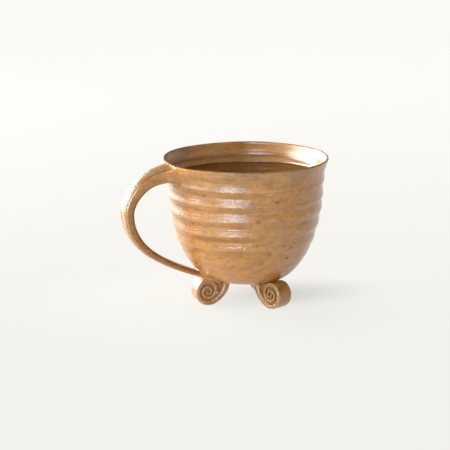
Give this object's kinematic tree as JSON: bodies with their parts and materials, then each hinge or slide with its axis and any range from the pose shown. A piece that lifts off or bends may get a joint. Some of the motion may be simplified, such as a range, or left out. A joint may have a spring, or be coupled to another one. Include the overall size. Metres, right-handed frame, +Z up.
{
  "type": "tripod cup",
  "caption": "Thrown stoneware cup with throwing rings, a pulled strap handle luted below the lip, and rolled scroll feet under a rounded bowl.",
  "frame": {"origin": "on the surface the cup stands on, at the middle of the bounding box of the cup with its handle; the bowl's turning axis is vertical and 14.1 mm along +X from it", "axes": "+Z up, out of the cup's mouth; the handle stands out towards -X"},
  "size_m": [0.1303, 0.102, 0.0913],
  "materials": {
    "bowl_glaze": "satin gloss ochre glaze over stoneware, with fine speckle",
    "handle_glaze": "satin gloss ochre glaze, darker along the sides of the strap",
    "foot_glaze": "satin gloss brown glaze, broken pale along the strap's edges",
    "wad_glaze": "satin gloss ochre glaze, pooled darker in the creases"
  },
  "bodies": {
    "root": {"cup_bowl": "bowl_glaze", "handle": "handle_glaze", "handle_top_wad": "wad_glaze", "handle_landing_wad": "wad_glaze", "scroll_foot_left": "foot_glaze", "scroll_foot_right": "foot_glaze", "scroll_foot_back": "foot_glaze", "foot_wad_left": "wad_glaze", "foot_wad_right": "wad_glaze", "foot_wad_back": "wad_glaze"}
  },
  "joints": []
}
